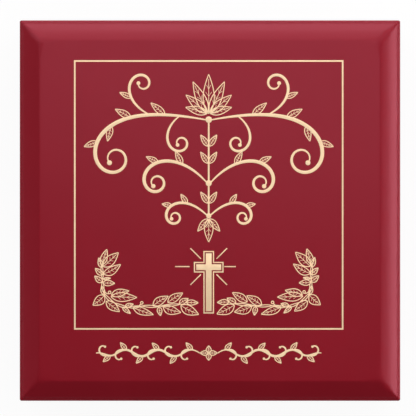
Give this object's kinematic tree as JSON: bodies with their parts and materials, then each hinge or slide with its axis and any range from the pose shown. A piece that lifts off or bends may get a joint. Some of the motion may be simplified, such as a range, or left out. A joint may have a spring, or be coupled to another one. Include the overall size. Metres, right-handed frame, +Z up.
{
  "type": "keepsake box",
  "caption": "Square lacquered wooden keepsake box with a pillow-edged hinged lid, engraved gold border and cross, brass butt hinges and a velvet-lined inside.",
  "frame": {"origin": "middle of the underside, on the surface that the box stands on", "axes": "+Z up, -Y the front, +Y the hinged back, +X to the right as seen from the front"},
  "size_m": [0.178, 0.178, 0.07],
  "materials": {
    "red_lacquer": "deep red semi-gloss lacquer",
    "bottom_board": "bare fibreboard",
    "black_velvet": "short-pile velvet",
    "black_felt": "pressed felt",
    "hinge_brass": "polished brass",
    "brass_screw": "polished brass, slotted",
    "gilt_engraving": "matt gold-tone fill in the engraving",
    "clear_bumper": "translucent silicone"
  },
  "bodies": {
    "base": {"front_wall": "red_lacquer", "back_wall": "red_lacquer", "left_wall": "red_lacquer", "right_wall": "red_lacquer", "bottom_panel": "bottom_board", "base_felt": "black_felt", "floor_pad": "black_velvet", "front_lining": "black_velvet", "back_lining": "black_velvet", "left_lining": "black_velvet", "right_lining": "black_velvet", "left_hinge_base_leaf": "hinge_brass", "right_hinge_base_leaf": "hinge_brass", "left_hinge_pin": "hinge_brass", "right_hinge_pin": "hinge_brass", "base_hinge_screws": "brass_screw", "lid_bumpers": "clear_bumper"},
    "lid": {"lid_panel": "red_lacquer", "lid_front_rail": "red_lacquer", "lid_back_rail": "red_lacquer", "lid_left_rail": "red_lacquer", "lid_right_rail": "red_lacquer", "lid_pad": "black_velvet", "left_hinge_lid_leaf": "hinge_brass", "right_hinge_lid_leaf": "hinge_brass", "lid_hinge_screws": "brass_screw"}
  },
  "joints": [
    {"name": "lid_hinge", "type": "hinge", "parent": "base", "child": "lid", "pos_m": [0, 0.086, 0.0443], "axis": [-1, 0, 0], "range_deg": [0, 95]}
  ]
}
